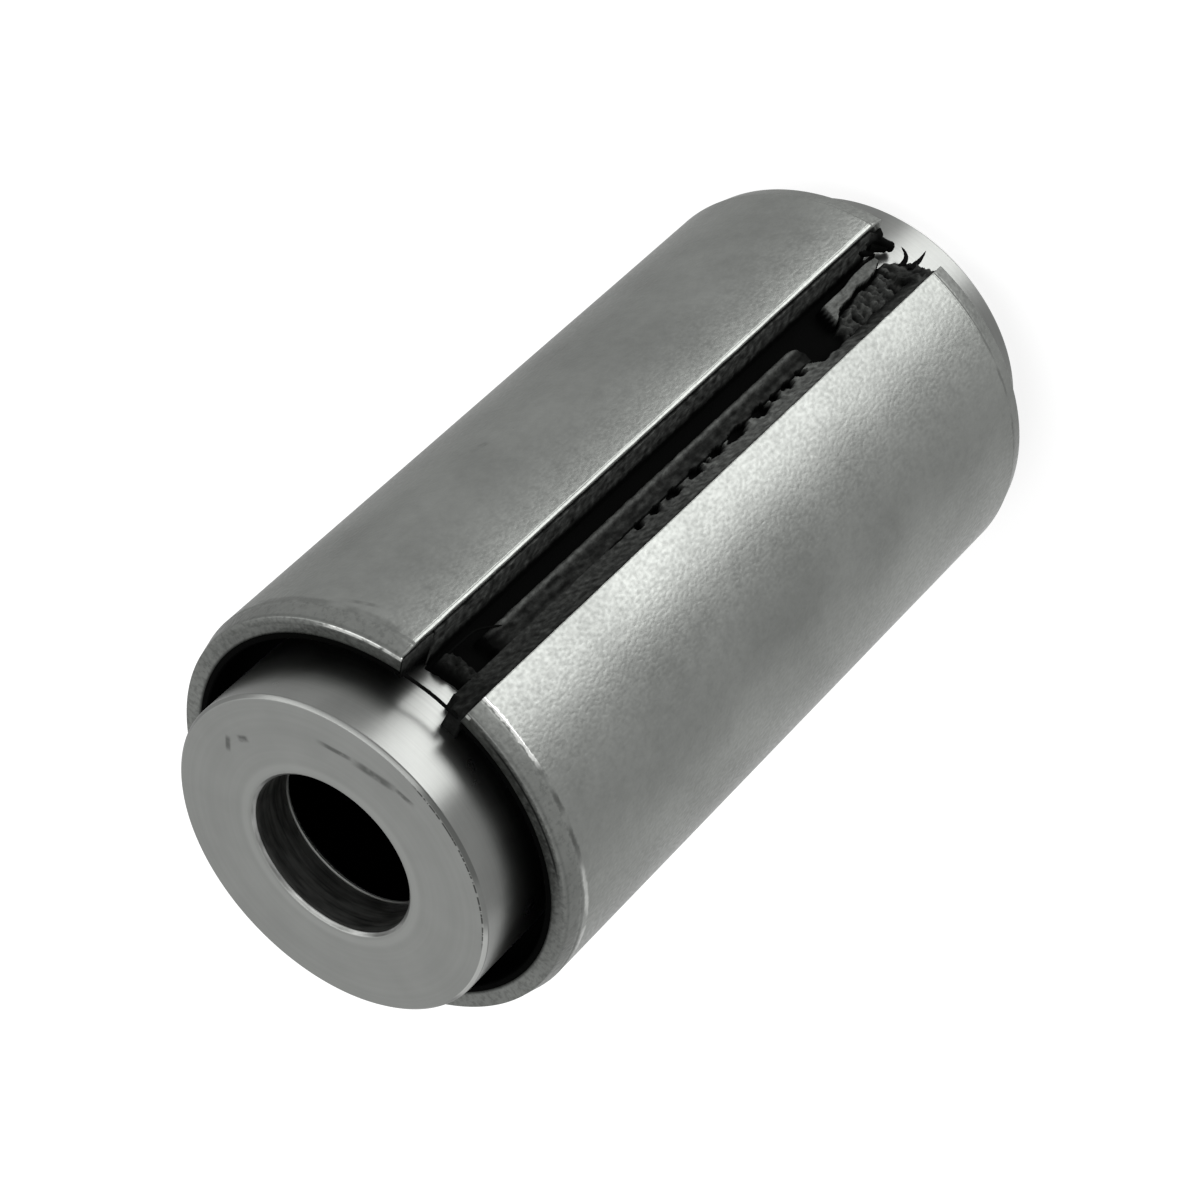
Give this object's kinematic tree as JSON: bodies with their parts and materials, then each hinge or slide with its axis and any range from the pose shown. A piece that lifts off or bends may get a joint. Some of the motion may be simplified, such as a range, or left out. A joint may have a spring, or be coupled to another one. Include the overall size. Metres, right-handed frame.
{
  "type": "bearing bushing",
  "caption": "Rubber-metal bushing: slotted steel outer sleeve, moulded rubber body and a thick steel inner tube that stands out at both ends.",
  "frame": {"origin": "centre of the inner tube's lower face, on the bushing's axis", "axes": "+Z along the axis, towards the end whose rubber strand crosses the slot; -Y towards the slot"},
  "size_m": [0.06, 0.0595, 0.1263],
  "materials": {
    "sleeve_steel": "blasted, fine grain",
    "tube_steel": "turned, bright",
    "rubber": "moulded, dull black"
  },
  "bodies": {
    "root": {"outer_sleeve": "sleeve_steel", "rubber_body": "rubber", "inner_tube": "tube_steel"}
  },
  "joints": []
}
